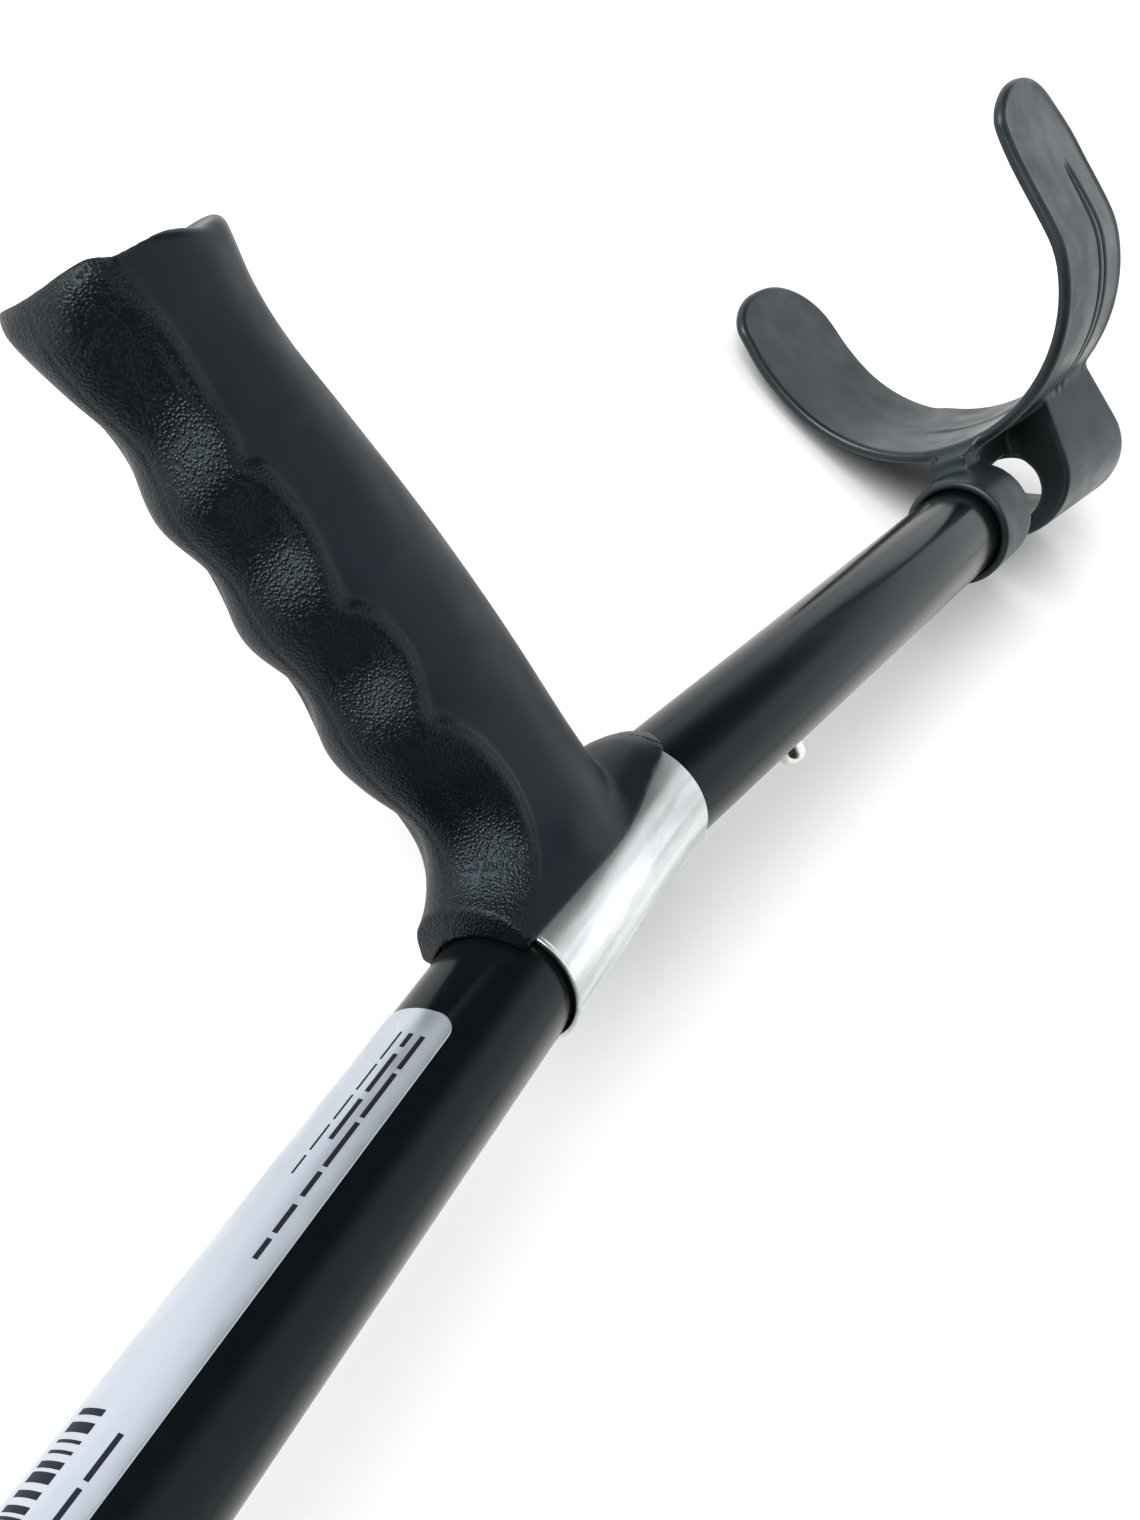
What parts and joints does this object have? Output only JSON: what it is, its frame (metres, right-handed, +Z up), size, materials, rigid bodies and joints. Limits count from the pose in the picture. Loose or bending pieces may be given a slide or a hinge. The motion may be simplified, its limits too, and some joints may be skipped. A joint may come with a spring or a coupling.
{
  "type": "forearm crutch",
  "caption": "Adjustable forearm crutch lying at rest: black tubes, moulded T grip with finger grooves, plated handle sleeve, open C-shaped forearm cuff, rubber-tipped telescopic leg.",
  "frame": {"origin": "on the surface the crutch lies on, under the middle of its bounding box", "axes": "+X runs along the crutch towards the cuff, +Z is up; the crutch lies rolled on to one arm of its cuff, so the grip points up and sideways"},
  "size_m": [1.0708, 0.1692, 0.0955],
  "materials": {
    "black_tube": "gloss black enamel on aluminium tube",
    "grip": "moulded, smooth satin on the palm side and pebble grain on the finger side",
    "cuff": "moulded, satin",
    "bush": "moulded, satin",
    "chrome": "bright zinc or nickel plate with faint draw lines",
    "aluminium": "satin anodised",
    "steel": "zinc plated",
    "rubber": "moulded rubber",
    "label": "plain silvery foil label"
  },
  "bodies": {
    "frame": {"main_tube": "black_tube", "connector_tube": "aluminium", "handle_sleeve": "chrome", "grip": "grip", "grip_bolt": "steel", "grip_washer": "steel", "grip_cap": "grip", "saddle_nut": "steel", "label": "label", "guide_bush": "bush", "forearm_spring": "steel"},
    "forearm": {"forearm_tube": "black_tube", "cuff": "cuff", "cuff_screw": "steel"},
    "forearm_catch": {"forearm_button": "chrome"},
    "leg": {"leg_tube": "aluminium", "leg_top_bush": "bush", "leg_spring": "steel", "rubber_tip": "rubber", "tip_washer": "steel"},
    "leg_catch": {"leg_button": "steel"}
  },
  "joints": [
    {"name": "forearm_slide", "type": "slide", "parent": "frame", "child": "forearm", "axis": [0.9841, -0.159, -0.0794], "range_m": [0, 0.04], "deforming": ["forearm_button"]},
    {"name": "leg_slide", "type": "slide", "parent": "frame", "child": "leg", "axis": [-0.9999, 0, 0.0161], "range_m": [-0.075, 0.075]},
    {"name": "forearm_button_press", "type": "slide", "parent": "frame", "child": "forearm_catch", "axis": [0.1771, 0.9148, 0.3631], "range_m": [0, 0.004], "stiffness_N_per_m": 1500, "springref_m": -0.002, "deforming": ["forearm_spring"]},
    {"name": "leg_button_press", "type": "slide", "parent": "leg", "child": "leg_catch", "axis": [0.006, 0.9285, 0.3713], "range_m": [0, 0.004], "stiffness_N_per_m": 1500, "springref_m": -0.002, "deforming": ["leg_spring"]}
  ]
}
